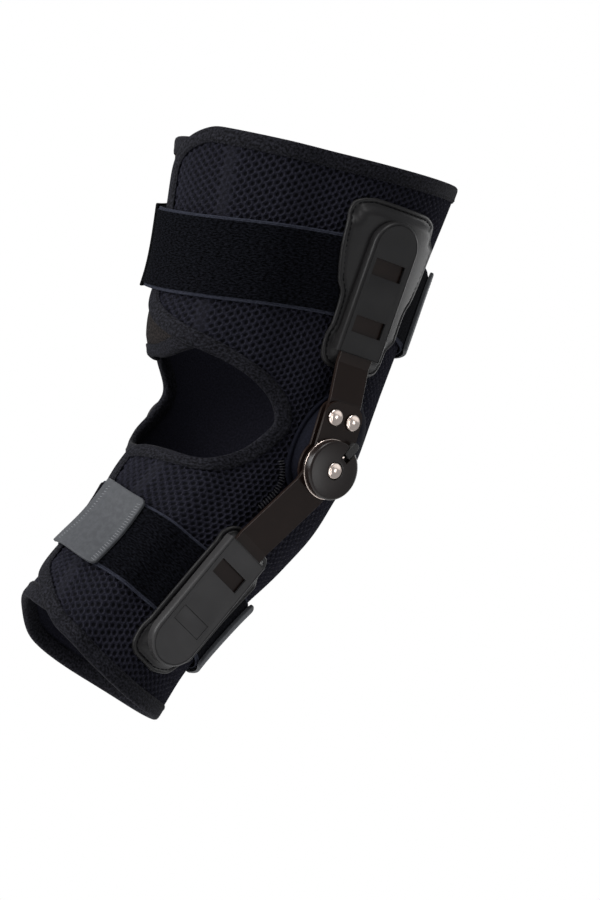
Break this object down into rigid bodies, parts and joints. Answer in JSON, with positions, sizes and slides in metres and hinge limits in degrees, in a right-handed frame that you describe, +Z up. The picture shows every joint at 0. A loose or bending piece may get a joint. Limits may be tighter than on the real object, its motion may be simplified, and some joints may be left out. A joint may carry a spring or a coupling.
{
  "type": "knee orthosis",
  "caption": "Hinged knee brace: a flexed wrap-round mesh sleeve open behind the knee, with metal side hinges, sheathed bars and straps.",
  "frame": {"origin": "on the hinge axis, midway between the two hinges, in the middle of the knee's hollow", "axes": "+X forward over the kneecap, +Y to the outer side of the leg along the hinge axis, +Z up the thigh"},
  "size_m": [0.1915, 0.168, 0.3333],
  "materials": {
    "mesh_fabric": "black knitted spacer mesh with oval cells",
    "knit_tape": "black knitted binding tape",
    "loop_fabric": "brown-black brushed loop fabric",
    "pile_strap": "black pile webbing with plain woven edges",
    "grey_tab": "mid grey rubbery tab with stitching",
    "navy_fabric": "dark navy smooth knit over padding",
    "pocket_vinyl": "satin black-grey moulded vinyl",
    "brown_metal": "dark brown anodised metal, satin",
    "gloss_disc": "glossy brown-black",
    "grey_stop": "grey moulded plastic",
    "nickel": "bright nickel"
  },
  "bodies": {
    "root": {"wrap": "mesh_fabric", "wrap_binding": "knit_tape", "thigh_closure": "loop_fabric", "closure_binding": "knit_tape", "thigh_back_strap": "pile_strap", "thigh_front_strap": "pile_strap", "thigh_back_tab": "pile_strap", "thigh_front_tab": "grey_tab", "shin_back_strap": "pile_strap", "shin_front_strap": "pile_strap", "shin_back_tab": "grey_tab", "shin_front_tab": "grey_tab", "inner_condyle_pad": "navy_fabric", "inner_back_plate": "brown_metal", "inner_upper_bar": "brown_metal", "inner_lower_bar": "brown_metal", "inner_front_plate": "brown_metal", "inner_hinge_disc": "gloss_disc", "inner_range_stop": "grey_stop", "inner_pivot_rivet": "nickel", "inner_plate_rivet_back": "nickel", "inner_plate_rivet_front": "nickel", "inner_upper_pocket": "pocket_vinyl", "inner_lower_pocket": "pocket_vinyl", "outer_condyle_pad": "navy_fabric", "outer_back_plate": "brown_metal", "outer_upper_bar": "brown_metal", "outer_lower_bar": "brown_metal", "outer_front_plate": "brown_metal", "outer_hinge_disc": "gloss_disc", "outer_range_stop": "grey_stop", "outer_pivot_rivet": "nickel", "outer_plate_rivet_back": "nickel", "outer_plate_rivet_front": "nickel", "outer_upper_pocket": "pocket_vinyl", "outer_lower_pocket": "pocket_vinyl"}
  },
  "joints": []
}
